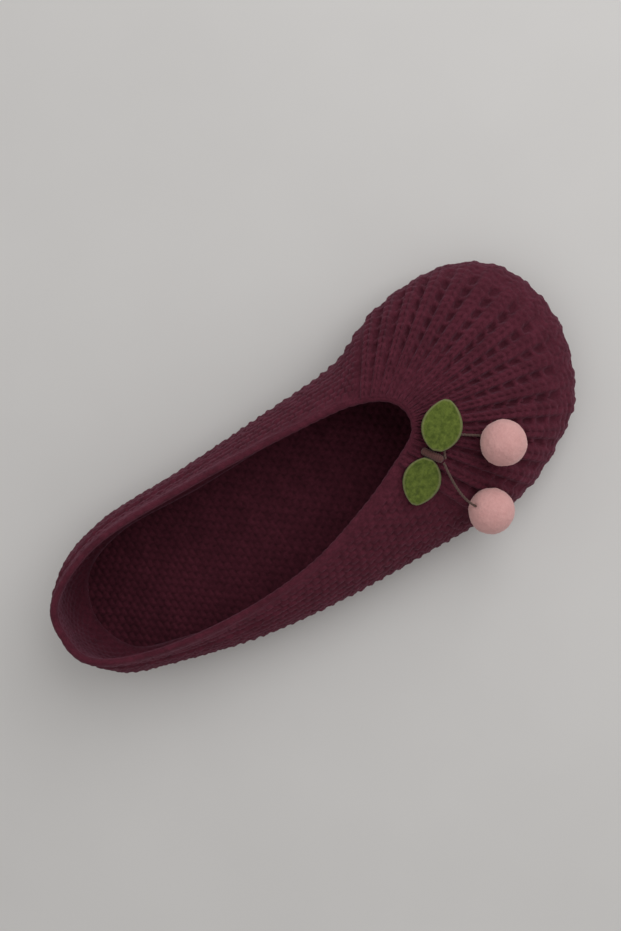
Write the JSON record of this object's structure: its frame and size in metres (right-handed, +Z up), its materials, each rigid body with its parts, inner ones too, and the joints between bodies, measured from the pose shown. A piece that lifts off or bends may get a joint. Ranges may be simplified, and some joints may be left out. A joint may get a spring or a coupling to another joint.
{
  "type": "knitted slipper",
  "caption": "Low knitted slipper for the right foot: wide open collar, fan-ribbed toe cap, knitted sole, and felt cherries with leaves at the outer side of the throat.",
  "frame": {"origin": "on the floor under the middle of the heel seat", "axes": "+X towards the toe, +Y towards the inner (big toe) side, +Z up"},
  "size_m": [0.2407, 0.1045, 0.0525],
  "materials": {
    "burgundy_knit": "matte brushed wool-type yarn, ribbed over the toe",
    "burgundy_sole_knit": "matte knit, flat",
    "green_felt": "short-napped felt",
    "brown_cord": "dull waxed cord",
    "pink_flock": "matte flock"
  },
  "bodies": {
    "root": {"upper": "burgundy_knit", "sole": "burgundy_sole_knit", "leaf_front": "green_felt", "leaf_side": "green_felt", "tie": "brown_cord", "stem_front": "brown_cord", "stem_side": "brown_cord", "pompom_front": "pink_flock", "pompom_side": "pink_flock"}
  },
  "joints": []
}
